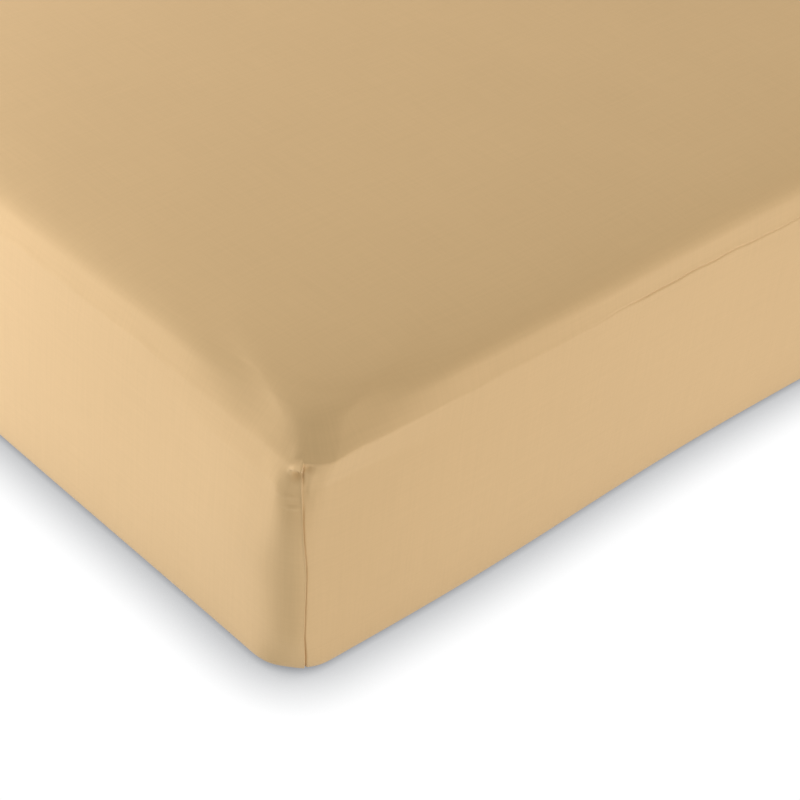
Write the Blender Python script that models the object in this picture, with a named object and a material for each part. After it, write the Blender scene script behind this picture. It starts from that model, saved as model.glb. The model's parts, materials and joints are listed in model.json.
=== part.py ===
"""A fitted sheet stretched over a single mattress.

X runs along the length, Y across the width and Z up. The origin is on the surface that the
mattress stands on, under its middle. The cloth is one closed shell: a flat hem turned under the
mattress, upright walls, a crease along the mattress's edge, a rounded shoulder and a slightly
crowned top. Each corner is closed by an upright seam with a puckered top.
"""

import math
from collections import namedtuple

import bmesh
import bpy
import numpy as np

MM = 0.001

# Overall sizes of the dressed mattress.
LENGTH = 2000 * MM
WIDTH = 900 * MM
HEIGHT = 250 * MM

# The cloth.
CLOTH = 2.0 * MM
HEM_REACH = 118 * MM
HEM_WIDTH = 18 * MM
BASE_ROUND = 14 * MM
CREASE_HEIGHT = 216 * MM
CREASE_INSET = 4.4 * MM
SHOULDER_INSET = 3.0 * MM

# Over the crease: a band that leans in a little, a tight shoulder and a slow crown, as how many
# degrees the cloth is tilted from upright at distances over its surface.
Tilt = namedtuple("Tilt", "over degrees")
TOP_TILTS = (
    Tilt(0, 9),
    Tilt(19 * MM, 12),
    Tilt(25 * MM, 40),
    Tilt(32 * MM, 65),
    Tilt(46 * MM, 80),
    Tilt(92 * MM, 87),
    Tilt(190 * MM, 90),
)
TOP_REACH = TOP_TILTS[-1].over
TOP_STEPS = 400
SHOULDER_END = 40 * MM

# The corner seam: one panel's allowance lies under the cloth beside it and lifts it.
SEAM_LIFT = 0.7 * MM
SEAM_ALLOWANCE = 8 * MM
SEAM_HALF_GAP = 0.7 * MM
SEAM_HOLLOW = 0.3 * MM

# The puckered top of the seam: a small peak, with a hollow on its other side and one below it.
PUCKER_HEIGHT = CREASE_HEIGHT - 2 * MM
PUCKER_HALF_WIDTH = 6 * MM
PUCKER_HALF_HEIGHT = 5 * MM

# The mattress keeps clear of the cloth: a little where they lie flat, more round the edges.
FLAT_CLEARANCE = 0.4 * MM
EDGE_CLEARANCE = 2.0 * MM

# A ring is a rounded rectangle: how far it is inside the outline, its height and the mean radius
# of its corners, which grows over the top.
Ring = namedtuple("Ring", "inset height radius")
HEM_CORNER = 45 * MM
TOP_CORNER_GROWTH = 0.6

# How a corner turns at some heights: its mean radius, the seam's place as a share of its length,
# and the degrees turned at equal steps up to the seam and from the seam on. One panel runs on
# straight to the seam over most of the wall, and the other one turns the corner.
# Lean is how far the corner stands out past the turning panel and in from the straight one.
Section = namedtuple("Section", "height radius lean_out lean_in seam before after")
SECTIONS = (
    Section(6 * MM, 48 * MM, 0 * MM, 0 * MM, 0.65, (0, 17, 36, 46, 53), (54, 66, 77, 85, 90)),
    Section(45 * MM, 45 * MM, 2.0 * MM, 1.4 * MM, 0.78, (0, 5, 15, 36, 66), (79, 84, 87, 89, 90)),
    Section(115 * MM, 44 * MM, 5.6 * MM, 4.0 * MM, 0.76, (0, 7, 18, 38, 68), (80, 85, 88, 89, 90)),
    Section(155 * MM, 42 * MM, 6.2 * MM, 4.4 * MM, 0.70, (0, 5, 20, 45, 60), (74, 82, 87, 89, 90)),
    Section(190 * MM, 38 * MM, 5.2 * MM, 4.0 * MM, 0.62, (0, 3, 22, 44, 50), (58, 68, 79, 87, 90)),
    Section(216 * MM, 28 * MM, 0.4 * MM, 3.0 * MM, 0.50, (0, 6, 20, 36, 44), (46, 56, 72, 84, 90)),
    Section(240 * MM, 33 * MM, 0 * MM, 0 * MM, 0.50, (0, 11, 22, 34, 45), (45, 56, 68, 79, 90)),
)
LEAN_REACH = 85 * MM
TURN_STEPS = 120

# Near a corner the cloth over the crease slumps inwards, in full from the top of the band up to
# the foot of the crown, as heights over the crease.
SLUMP = 8 * MM
SLUMP_REACH = 75 * MM
BAND_TOP = 16 * MM
CROWN_FOOT = 24 * MM

# Upright rings of the wall, from the floor to the crease: height and inset. The wall is fullest
# in its lower half and leans in a little towards the crease.
Upright = namedtuple("Upright", "height inset")
WALL = (
    Upright(55 * MM, 0.0 * MM),
    Upright(105 * MM, 0.0 * MM),
    Upright(150 * MM, 0.7 * MM),
    Upright(185 * MM, 1.7 * MM),
    Upright(203 * MM, 2.6 * MM),
)

# Corners, anticlockwise from above. In a mirrored corner it is the other panel that turns.
Corner = namedtuple("Corner", "side_x side_y first_angle mirrored pucker")
CORNERS = (
    Corner(-1, -1, 180, False, 4.4 * MM),
    Corner(1, -1, 270, True, 2.8 * MM),
    Corner(1, 1, 0, False, 3.2 * MM),
    Corner(-1, 1, 90, True, 3.0 * MM),
)

# Long slow waves of the sides, along X or Y from the end at -X or -Y: how deep the wall is drawn
# in between its full places, their spacing and the first of them; then the same for the dips of
# the crease.
Side = namedtuple("Side", "draw_in wave full_at dip dip_wave level_at")
FRONT = Side(4.6 * MM, 0.55, 0.195, 4.4 * MM, 0.85, 0.20)
BACK = Side(3.2 * MM, 0.56, 0.35, 4.0 * MM, 0.74, 0.31)
LEFT = Side(3.6 * MM, 0.90, 0.45, 4.2 * MM, 0.70, 0.33)
RIGHT = Side(2.6 * MM, 0.61, 0.47, 4.5 * MM, 0.68, 0.38)
WAVE_FADE = 60 * MM
DIP_REACH = 16 * MM

# Where rings have points. Beside a seam they are set by distance from it, the rest of a corner
# by equal shares and the sides by shares that are closer near the corners.
SEAM_POINTS = (-8 * MM, -4 * MM, -SEAM_HALF_GAP, SEAM_HALF_GAP, 4 * MM, 8 * MM)
CORNER_SHARES = 4
LONG_SIDE = (0.02, 0.04, 0.07, *(0.05 * step for step in range(2, 19)), 0.93, 0.96, 0.98)
SHORT_SIDE = (0.05, 0.1, 0.17, 0.28, 0.39, 0.5, 0.61, 0.72, 0.83, 0.9, 0.95)


def clear_scene():
    for obj in list(bpy.data.objects):
        bpy.data.objects.remove(obj, do_unlink=True)


def material(name, colour, roughness):
    made = bpy.data.materials.new(name)
    made.use_nodes = True
    shader = made.node_tree.nodes["Principled BSDF"]
    shader.inputs["Base Color"].default_value = (*colour, 1)
    shader.inputs["Roughness"].default_value = roughness
    shader.inputs["Metallic"].default_value = 0
    return made


def blend(low, high, share):
    return low + (high - low) * share


def bell(distance, half_width):
    """1 at no distance, falling smoothly to almost 0 at two half widths."""
    return math.exp(-((distance / half_width) ** 2))


def at_height(height, column):
    """A column of the corner sections, between its rows."""
    values = np.array([getattr(row, column) for row in SECTIONS], float).T
    heights = [row.height for row in SECTIONS]
    if values.ndim == 1:
        return float(np.interp(height, heights, values))
    return [float(np.interp(height, heights, steps)) for steps in values]


def top_radius(inset):
    return at_height(CREASE_HEIGHT, "radius") + TOP_CORNER_GROWTH * (inset - SHOULDER_INSET)


def top_profile():
    """The shoulder and crown in small steps: distance over the surface, inset and height."""
    over = np.linspace(0, TOP_REACH, TOP_STEPS + 1)
    middle = (over[1:] + over[:-1]) / 2
    known_over, known_degrees = zip(*TOP_TILTS)
    tilt = np.radians(np.interp(middle, known_over, known_degrees))
    inward = np.concatenate(([0], np.cumsum(np.sin(tilt)))) * TOP_REACH / TOP_STEPS
    rise = np.concatenate(([0], np.cumsum(np.cos(tilt))))
    return over, SHOULDER_INSET + inward, blend(CREASE_HEIGHT, HEIGHT, rise / rise[-1])


def top_rings(distances):
    """Rings of the top, at distances over the surface from the crease."""
    over, insets, heights = top_profile()
    rings = []
    for distance in distances:
        inset = float(np.interp(distance, over, insets))
        rings.append(Ring(inset, float(np.interp(distance, over, heights)), top_radius(inset)))
    return rings


def under_rings():
    """The flat hem and the rounded foot of the wall."""
    rings = [
        Ring(HEM_REACH, 0, HEM_CORNER),
        Ring(HEM_REACH - HEM_WIDTH, 0, HEM_CORNER),
    ]
    for degrees in (0, 35, 65, 90):
        turn = math.radians(degrees)
        inset = BASE_ROUND * (1 - math.sin(turn))
        height = BASE_ROUND * (1 - math.cos(turn))
        rings.append(Ring(inset, height, at_height(height, "radius") - inset / 2))
    return rings


def wall_rings():
    return [Ring(row.inset, row.height, at_height(row.height, "radius")) for row in WALL]


def crease_rings():
    """The groove between the wall and the shoulder, pressed in by the mattress's taped edge."""
    lip = CREASE_HEIGHT - 4 * MM
    return [
        Ring(SHOULDER_INSET, lip, at_height(lip, "radius")),
        Ring(CREASE_INSET, CREASE_HEIGHT, at_height(CREASE_HEIGHT, "radius")),
    ]


def outer_rings():
    tops = [distance * MM for distance in (6, 19, 22, 26, 32, 39, 48, 68, 92, 135, 190)]
    return under_rings() + wall_rings() + crease_rings() + top_rings(tops)


def plain_rings():
    """The same form with fewer rings, for the cloth's inner face and for the mattress."""
    tops = [distance * MM for distance in (6, 19, 24, 32, 48, 92, 190)]
    return under_rings() + wall_rings() + crease_rings() + top_rings(tops)


def moved_in(rings, distances):
    """Rings moved inwards, square to the form that they make, each by its own distance."""
    moved = []
    for place, (ring, distance) in enumerate(zip(rings, distances)):
        before = rings[max(place - 1, 0)]
        after = rings[min(place + 1, len(rings) - 1)]
        out, up = before.inset - after.inset, after.height - before.height
        size = math.hypot(out, up)
        out_normal, up_normal = up / size, -out / size
        # The flats at both ends stay level.
        if ring.height in (0, HEIGHT):
            out_normal, up_normal = 0, math.copysign(1, ring.height - HEIGHT / 2)
        moved.append(
            Ring(
                ring.inset + distance * out_normal,
                ring.height - distance * up_normal,
                ring.radius - distance * out_normal,
            )
        )
    return moved


def sides_of(corner):
    """The outward directions of the two sides that meet at a corner, in plan."""
    first = math.radians(corner.first_angle)
    return np.array((math.cos(first), math.sin(first))), np.array((-math.sin(first), math.cos(first)))


def lean_of(ring, corner):
    """How far a corner is moved out past the panel that turns it and in from the other."""
    turning, straight = sides_of(corner)
    if corner.mirrored:
        turning, straight = straight, turning
    return turning * at_height(ring.height, "lean_out") - straight * at_height(ring.height, "lean_in")


def corner_turn(ring, mirrored):
    """A corner's turn in small steps: arc length, turn, how far it runs along each side, its seam."""
    before = at_height(ring.height, "before")
    after = at_height(ring.height, "after")
    seam = at_height(ring.height, "seam")
    places = [*np.linspace(0, seam, len(before)), *np.linspace(seam, 1, len(after))]
    share = np.linspace(0, 1, TURN_STEPS + 1)
    turn = np.radians(np.interp(share, places, before + after))
    if mirrored:
        turn, seam = math.pi / 2 - turn[::-1], 1 - seam
    middle = (turn[1:] + turn[:-1]) / 2
    whole = math.pi / 2 * ring.radius
    along_first = np.concatenate(([0], np.cumsum(np.cos(middle)))) * whole / TURN_STEPS
    along_second = np.concatenate(([0], np.cumsum(np.sin(middle)))) * whole / TURN_STEPS
    return share * whole, turn, along_first, along_second, seam * whole


def corner_points(ring, corner, seam_points):
    """(place, outward direction, distance from the seam) for each point of one corner of a ring."""
    arcs, turns, along_first, along_second, seam = corner_turn(ring, corner.mirrored)
    first, last = seam_points[0], seam_points[-1]
    along = [blend(-seam, first, k / CORNER_SHARES) for k in range(CORNER_SHARES)]
    along += seam_points
    along += [blend(last, arcs[-1] - seam, (k + 1) / CORNER_SHARES) for k in range(CORNER_SHARES)]
    first_side, second_side = sides_of(corner)
    tip_x = corner.side_x * (LENGTH / 2 - ring.inset)
    tip_y = corner.side_y * (WIDTH / 2 - ring.inset)
    start = np.array((tip_x, tip_y)) - second_side * along_first[-1] + lean_of(ring, corner)
    points = []
    for distance in along:
        turn, run, turned_in = (
            np.interp(seam + distance, arcs, steps) for steps in (turns, along_first, along_second)
        )
        out = math.cos(turn) * first_side + math.sin(turn) * second_side
        points.append((start + second_side * run - first_side * turned_in, out, distance))
    return points


def pucker(distance, height, size):
    """The peak on the seam's first side, the hollow across it and the pocket under it."""
    rise = bell(height - PUCKER_HEIGHT, PUCKER_HALF_HEIGHT)
    if distance < 0:
        peak = bell(distance, PUCKER_HALF_WIDTH) * rise
        pocket = bell(distance + PUCKER_HALF_WIDTH, PUCKER_HALF_WIDTH) * bell(
            height - PUCKER_HEIGHT + 3 * PUCKER_HALF_HEIGHT, 2 * PUCKER_HALF_HEIGHT
        )
        return size * (peak - 0.35 * pocket)
    return -0.2 * size * bell(distance - PUCKER_HALF_WIDTH / 2, PUCKER_HALF_WIDTH) * rise


def seam_relief(distance, height, size):
    """How far the cloth stands out beside a seam, which ends in the pucker."""
    step = -SEAM_HOLLOW * bell(distance, SEAM_ALLOWANCE / 2)
    if distance < 0:
        step = SEAM_LIFT * (1 - min(-distance / (2 * SEAM_ALLOWANCE), 1))
    below_top = (PUCKER_HEIGHT - height) / PUCKER_HALF_HEIGHT + 0.5
    return step * min(max(below_top, 0), 1) + pucker(distance, height, size)


def slump(height, from_corner):
    """How far the cloth over the crease is moved inwards near a corner."""
    over = height - CREASE_HEIGHT
    band = min(max(over / BAND_TOP, 0), 1)
    crown = min(max((over - CROWN_FOOT) / (HEIGHT - CREASE_HEIGHT - CROWN_FOOT), 0), 1)
    return SLUMP * band * (1 - crown) * bell(from_corner, SLUMP_REACH)


def swell(depth, wave, full_at, along):
    """0 at the full places, falling to depth half way between them."""
    return depth / 2 * (1 - math.cos(2 * math.pi * (along - full_at) / wave))


def waved(point, out, ring):
    """The point moved by the waves of the two sides that meet nearest to it."""
    x, y = point
    ends = LEFT if out[0] < 0 else RIGHT
    flanks = FRONT if out[1] < 0 else BACK
    across, along = y + WIDTH / 2, x + LENGTH / 2
    fade = 1 - min(max(ring.inset - BASE_ROUND, 0) / WAVE_FADE, 1)
    draw_x = swell(ends.draw_in, ends.wave, ends.full_at, across) * fade
    draw_y = swell(flanks.draw_in, flanks.wave, flanks.full_at, along) * fade
    dip_x = swell(ends.dip, ends.dip_wave, ends.level_at, across) * out[0] ** 2
    dip_y = swell(flanks.dip, flanks.dip_wave, flanks.level_at, along) * out[1] ** 2
    dip = (dip_x + dip_y) * bell(ring.height - CREASE_HEIGHT, DIP_REACH)
    return (float(x - draw_x * out[0]), float(y - draw_y * out[1]), float(ring.height - dip))


def ring_points(ring, relief=False, seam_points=SEAM_POINTS):
    """The points of a ring, anticlockwise from above, from the first corner."""
    corners = [corner_points(ring, corner, list(seam_points)) for corner in CORNERS]
    leans = [lean_of(ring, corner) for corner in CORNERS]
    points = []
    for index, corner in enumerate(CORNERS):
        for place, out, distance in corners[index]:
            lift = -slump(ring.height, 0)
            if relief and ring.height > 0:
                lift += seam_relief(distance, ring.height, corner.pucker)
            points.append(waved(place + lift * out, out, ring))
        after = (index + 1) % len(CORNERS)
        start, out, _ = corners[index][-1]
        start = start - leans[index]
        straight = corners[after][0][0] - leans[after] - start
        length = float(np.hypot(*straight))
        for share in LONG_SIDE if index % 2 == 0 else SHORT_SIDE:
            behind, ahead = length * share, length * (1 - share)
            place = start + straight * share + leans[index] * bell(behind, LEAN_REACH)
            place = place + leans[after] * bell(ahead, LEAN_REACH)
            place = place - slump(ring.height, min(behind, ahead)) * out
            points.append(waved(place, out, ring))
    return points


def add_skin(shape, rows, facing_out):
    """Rings of points joined into a skin and closed over at the last ring. Gives all its points."""
    grid = [[shape.verts.new(point) for point in row] for row in rows]
    for low, high in zip(grid, grid[1:]):
        for index, first in enumerate(low):
            after = (index + 1) % len(low)
            corners = (first, low[after], high[after], high[index])
            shape.faces.new(corners if facing_out else reversed(corners))
    shape.faces.new(grid[-1] if facing_out else reversed(grid[-1]))
    return grid


def add_object(name, shape, finish):
    mesh = bpy.data.meshes.new(name)
    shape.to_mesh(mesh)
    shape.free()
    mesh.materials.append(finish)
    mesh.shade_smooth()
    mesh.set_sharp_from_angle(angle=math.radians(50))
    obj = bpy.data.objects.new(name, mesh)
    bpy.context.scene.collection.objects.link(obj)
    return obj


def fitted_sheet():
    """The cloth: an outer and an inner skin, joined by the hem's edge."""
    shape = bmesh.new()
    outer = [ring_points(ring, relief=True) for ring in outer_rings()]
    plain = plain_rings()
    inner = [ring_points(ring) for ring in moved_in(plain, [CLOTH] * len(plain))]
    outside = add_skin(shape, outer, facing_out=True)
    inside = add_skin(shape, inner, facing_out=False)
    hem_out, hem_in = outside[0], inside[0]
    for index, first in enumerate(hem_in):
        after = (index + 1) % len(hem_in)
        shape.faces.new((first, hem_in[after], hem_out[after], hem_out[index]))
    cotton = material("sheet_cotton", (0.66, 0.46, 0.235), 0.85)
    return add_object("fitted_sheet", shape, cotton)


def mattress():
    """The plain block inside, clear of the cloth all round and closed over underneath."""
    plain = plain_rings()
    gaps = []
    for ring in plain:
        flat = ring.height == 0 or ring.inset > SHOULDER_INSET + SHOULDER_END
        gaps.append(CLOTH + (FLAT_CLEARANCE if flat else EDGE_CLEARANCE))
    shape = bmesh.new()
    rows = [ring_points(ring, seam_points=(0,)) for ring in moved_in(plain, gaps)]
    skin = add_skin(shape, rows, facing_out=True)
    shape.faces.new(reversed(skin[0]))
    return add_object("mattress", shape, material("mattress_ticking", (0.78, 0.77, 0.73), 0.9))


clear_scene()
fitted_sheet()
mattress()
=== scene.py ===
"""The looks of a fitted sheet stretched over a single mattress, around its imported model.

Metres, X along the mattress, Y across it and Z up. The cloth is one closed mesh of rings, from the
hem under the mattress to the middle of its top. Each ring is a rounded rectangle, and the cloth's
own forms are laid over that: slow waves of the sides, a crease along the mattress's edge, four
sewn corners with puckered tops, and a gathered hem.
"""

import json
import math
from collections import namedtuple

import bmesh
import bpy
import numpy as np
from mathutils import Matrix, Vector
from mathutils.geometry import delaunay_2d_cdt


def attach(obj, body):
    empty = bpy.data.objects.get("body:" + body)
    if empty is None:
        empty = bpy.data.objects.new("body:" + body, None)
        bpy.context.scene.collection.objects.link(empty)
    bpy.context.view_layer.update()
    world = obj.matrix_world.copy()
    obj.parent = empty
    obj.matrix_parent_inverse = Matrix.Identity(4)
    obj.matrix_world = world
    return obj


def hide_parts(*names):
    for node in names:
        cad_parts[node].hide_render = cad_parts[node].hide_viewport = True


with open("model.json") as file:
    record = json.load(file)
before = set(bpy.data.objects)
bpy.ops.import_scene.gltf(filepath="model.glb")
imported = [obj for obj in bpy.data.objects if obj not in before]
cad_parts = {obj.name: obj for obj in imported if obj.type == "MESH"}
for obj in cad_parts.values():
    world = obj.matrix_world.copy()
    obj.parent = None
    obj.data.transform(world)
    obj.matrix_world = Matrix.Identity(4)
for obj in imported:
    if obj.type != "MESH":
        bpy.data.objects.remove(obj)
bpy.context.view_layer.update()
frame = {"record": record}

MM = 0.001

# ---------------------------------------------------------------------------------------------
# Sizes
# ---------------------------------------------------------------------------------------------

# The dressed mattress, in the sizes of its solids.
LENGTH = 2000 * MM
WIDTH = 900 * MM
HEIGHT = 250 * MM
CLOTH = 2.0 * MM
HEM_REACH = 118 * MM
HEM_WIDTH = 18 * MM
BASE_ROUND = 14 * MM
CREASE_HEIGHT = 216 * MM

# Over the crease: a band that leans in a little, a tight shoulder and a slow crown, as how many
# degrees the cloth is tilted from upright at distances over its surface, with the mean radius of
# its corners, which are rounder the higher they are.
SHOULDER_INSET = 3.0 * MM
Tilt = namedtuple("Tilt", "over degrees radius")
TOP_TILTS = (
    Tilt(0, 9, 37 * MM),
    Tilt(19 * MM, 12, 52 * MM),
    Tilt(25 * MM, 40, 62 * MM),
    Tilt(32 * MM, 65, 78 * MM),
    Tilt(46 * MM, 80, 96 * MM),
    Tilt(92 * MM, 87, 118 * MM),
    Tilt(190 * MM, 90, 138 * MM),
)
TOP_REACH = TOP_TILTS[-1].over
TOP_STEPS = 400

# The wall is upright up to this height and leans in from there, slowly at first.
UPRIGHT_HEIGHT = 95 * MM
LEAN_POWER = 1.9

# A ring is a rounded rectangle: how far it is inside the outline, its height and the mean radius
# of its corners.
Ring = namedtuple("Ring", "inset height radius")
HEM_CORNER = 45 * MM

# How a corner turns at some heights: its mean radius, how far it stands out past the panel that
# turns it and in from the straight one, the seam's place as a share of its length, and the degrees
# turned at equal steps up to the seam and from the seam on. Its lean fades out along the sides.
Section =namedtuple("Section", "height radius lean_out lean_in seam before after")
SECTIONS = (
    Section(6 * MM, 48 * MM, 0 * MM, 0 * MM, 0.65, (0, 12, 33, 46, 54), (56, 66, 77, 85, 90)),
    Section(45 * MM, 45 * MM, 2.0 * MM, 1.4 * MM, 0.80, (0, 3, 13, 35, 66), (79, 84, 87, 89, 90)),
    Section(115 * MM, 44 * MM, 5.4 * MM, 4.0 * MM, 0.78, (0, 6, 17, 38, 68), (80, 85, 88, 89, 90)),
    Section(155 * MM, 39 * MM, 5.6 * MM, 4.4 * MM, 0.70, (0, 0, 13, 42, 58), (74, 82, 87, 89, 90)),
    Section(190 * MM, 36 * MM, 4.2 * MM, 3.6 * MM, 0.62, (-2, -1, 18, 44, 50), (55, 60, 67, 77, 89)),
    Section(216 * MM, 37 * MM, 0.0 * MM, -1.0 * MM, 0.52, (0, -1, 4, 27, 42), (44, 50, 58, 70, 86)),
    Section(240 * MM, 37 * MM, 0 * MM, 0 * MM, 0.50, (0, 11, 22, 34, 45), (45, 56, 68, 79, 90)),
)
LEAN_REACH = 85 * MM
TURN_STEPS = 120

# Corners, anticlockwise from above. In a mirrored corner it is the other panel that turns.
Corner = namedtuple("Corner", "side_x side_y first_angle mirrored pucker")
CORNERS = (
    Corner(-1, -1, 180, False, 4.6 * MM),
    Corner(1, -1, 270, True, 2.8 * MM),
    Corner(1, 1, 0, False, 3.2 * MM),
    Corner(-1, 1, 90, True, 3.0 * MM),
)

# Long slow waves of the sides, along X or Y from the end at -X or -Y: how deep the wall is drawn
# in between its full places, their spacing and the first of them; then the same for the dips of
# the crease.
Side = namedtuple("Side", "draw_in wave full_at dip dip_wave level_at")
FRONT = Side(4.6 * MM, 0.55, 0.195, 4.4 * MM, 0.85, 0.20)
BACK = Side(3.2 * MM, 0.56, 0.35, 4.0 * MM, 0.74, 0.31)
LEFT = Side(3.6 * MM, 0.90, 0.45, 4.2 * MM, 0.70, 0.33)
RIGHT = Side(2.6 * MM, 0.61, 0.47, 4.5 * MM, 0.68, 0.38)
WAVE_FADE = 60 * MM
DIP_REACH = 16 * MM

# The crease along each side: how deep its fine groove is, how far the cloth just above it is set
# back, and how far the shoulder over it is flattened inwards, at places along the side.
Crease =namedtuple("Crease", "along groove set_back flattened")
FRONT_CREASE = (
    Crease(0, 0.0 * MM, 0.3 * MM, 1.6 * MM),
    Crease(60 * MM, 0.1 * MM, 0.3 * MM, 1.6 * MM),
    Crease(120 * MM, 0.15 * MM, 0.4 * MM, 1.4 * MM),
    Crease(260 * MM, 0.2 * MM, 0.5 * MM, 0.8 * MM),
    Crease(335 * MM, 0.5 * MM, 0.6 * MM, -0.2 * MM),
    Crease(370 * MM, 1.3 * MM, 0.8 * MM, -0.4 * MM),
    Crease(440 * MM, 1.2 * MM, 0.9 * MM, -0.2 * MM),
    Crease(540 * MM, 0.9 * MM, 0.8 * MM, 0.6 * MM),
    Crease(640 * MM, 0.5 * MM, 0.7 * MM, 1.0 * MM),
    Crease(900 * MM, 0.8 * MM, 1.0 * MM, 0.0 * MM),
    Crease(1250 * MM, 0.4 * MM, 0.6 * MM, 2.0 * MM),
    Crease(1600 * MM, 0.9 * MM, 0.9 * MM, 0.4 * MM),
    Crease(2000 * MM, 0.0 * MM, 0.3 * MM, 1.4 * MM),
)
LEFT_CREASE = (
    Crease(0, 0.0 * MM, 0.3 * MM, 1.0 * MM),
    Crease(60 * MM, 0.1 * MM, 0.3 * MM, 1.2 * MM),
    Crease(110 * MM, 0.1 * MM, 0.2 * MM, 1.8 * MM),
    Crease(260 * MM, 0.15 * MM, 0.25 * MM, 2.2 * MM),
    Crease(380 * MM, 0.3 * MM, 0.5 * MM, 1.6 * MM),
    Crease(620 * MM, 0.8 * MM, 0.9 * MM, 0.6 * MM),
    Crease(900 * MM, 0.0 * MM, 0.4 * MM, 1.2 * MM),
)
BACK_CREASE = (
    Crease(0, 0.0 * MM, 0.4 * MM, 1.4 * MM),
    Crease(330 * MM, 0.9 * MM, 0.8 * MM, 0.4 * MM),
    Crease(760 * MM, 0.4 * MM, 0.6 * MM, 1.8 * MM),
    Crease(1180 * MM, 1.0 * MM, 1.0 * MM, 0.2 * MM),
    Crease(1640 * MM, 0.5 * MM, 0.7 * MM, 1.4 * MM),
    Crease(2000 * MM, 0.0 * MM, 0.3 * MM, 1.2 * MM),
)
RIGHT_CREASE = (
    Crease(0, 0.0 * MM, 0.4 * MM, 1.4 * MM),
    Crease(210 * MM, 0.8 * MM, 0.9 * MM, 0.8 * MM),
    Crease(480 * MM, 0.4 * MM, 0.6 * MM, 1.8 * MM),
    Crease(700 * MM, 0.9 * MM, 1.0 * MM, 0.6 * MM),
    Crease(900 * MM, 0.0 * MM, 0.4 * MM, 1.4 * MM),
)
GROOVE_HALF_WIDTH = 0.9 * MM
SET_BACK_HEIGHT = 6 * MM

# Near a corner the cloth over the crease slumps inwards. The slump comes in between two heights
# over the crease, the flattening is full at the top of the band, and both end over the crown.
SLUMP = 12 * MM
SLUMP_REACH = 50 * MM
SLUMP_FOOT = -3 * MM
SLUMP_FULL = 20 * MM
BAND_TOP = 16 * MM
CROWN_FOOT = 24 * MM

# The crease wanders up and down a little as it goes.
Wave = namedtuple("Wave", "height spacing start")
CREASE_WANDER = (
    Wave(0.55 * MM, 47 * MM, 0.9),
    Wave(0.40 * MM, 71 * MM, 2.6),
    Wave(0.35 * MM, 129 * MM, 4.4),
)
WANDER_REACH = 7 * MM

# The corner seam: one panel's allowance lies under the cloth beside it and lifts it. Its edge is
# a fine rib with a narrow hollow beside it, and the layers behind it lie farther in. All of it
# fades in over the foot of the wall and out under the crease.
SEAM_LIFT = 0.7 * MM
SEAM_ALLOWANCE = 8 * MM
SEAM_RIB_WIDTH = 0.7 * MM
SEAM_HOLLOW_WIDTH = 0.75 * MM
SEAM_ROOM = 1.0 * MM
SEAM_ROOM_WIDTH = 3 * MM
SEAM_FOOT_FADE = 6 * MM
SEAM_TOP_FADE = 5 * MM
SeamEdge = namedtuple("SeamEdge", "height rib hollow")
SEAM_EDGE = (
    SeamEdge(0 * MM, 0.15 * MM, 1.6 * MM),
    SeamEdge(100 * MM, 0.20 * MM, 1.6 * MM),
    SeamEdge(125 * MM, 0.55 * MM, 1.1 * MM),
    SeamEdge(170 * MM, 0.65 * MM, 0.7 * MM),
    SeamEdge(180 * MM, 0.80 * MM, 0.1 * MM),
    SeamEdge(194 * MM, 0.80 * MM, 0.0 * MM),
    SeamEdge(200 * MM, 0.35 * MM, 0.5 * MM),
    SeamEdge(211 * MM, 0.35 * MM, 0.5 * MM),
    SeamEdge(216 * MM, 0.00 * MM, 0.0 * MM),
)

# The puckered top of the seam, as soft swellings and hollows: how high each is, where it is along
# from the seam and up from the crease, and its half sizes. The heights are shares of the corner's
# pucker. A fold stays on its own side of the seam, and ends over a short way past it.
Fold =namedtuple("Fold", "height along up half_width half_height")
PUCKER_FOLDS = (
    Fold(1.00, -1 * MM, -2.8 * MM, 4 * MM, 2.2 * MM),
    Fold(0.65, -6 * MM, -4.2 * MM, 3 * MM, 2.3 * MM),
    Fold(0.30, -9.5 * MM, -8 * MM, 1.9 * MM, 3.2 * MM),
    Fold(0.20, -1 * MM, -6 * MM, 1.2 * MM, 4 * MM),
    Fold(-0.70, -4 * MM, -11 * MM, 4.5 * MM, 5 * MM),
    Fold(-0.40, 4.5 * MM, -3.5 * MM, 3.6 * MM, 2.8 * MM),
    Fold(-0.25, 0.6 * MM, -11 * MM, 0.8 * MM, 5 * MM),
    Fold(0.20, 7 * MM, -12 * MM, 3 * MM, 6 * MM),
    Fold(0.22, -6 * MM, 3.8 * MM, 6 * MM, 1.1 * MM),
    Fold(0.18, -6 * MM, 7.0 * MM, 5 * MM, 1.1 * MM),
    Fold(0.07, -22 * MM, -28 * MM, 2.6 * MM, 16 * MM),
    Fold(0.06, -29 * MM, -18 * MM, 2.6 * MM, 11 * MM),
    Fold(0.18, -13 * MM, -32 * MM, 7 * MM, 1.2 * MM),
    Fold(0.24, -9 * MM, -41 * MM, 6 * MM, 1.2 * MM),
    Fold(0.20, -13 * MM, -47 * MM, 7 * MM, 1.3 * MM),
    Fold(0.20, -7 * MM, -53 * MM, 5 * MM, 1.2 * MM),
    Fold(0.16, 6 * MM, -26 * MM, 1.8 * MM, 8 * MM),
    Fold(0.12, 10 * MM, -34 * MM, 2.2 * MM, 9 * MM),
)
FOLD_END = (-0.8 * MM, 0.1 * MM)
PUCKER_ROOM = Fold(0.9, -1 * MM, -8 * MM, 10 * MM, 13 * MM)

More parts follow.
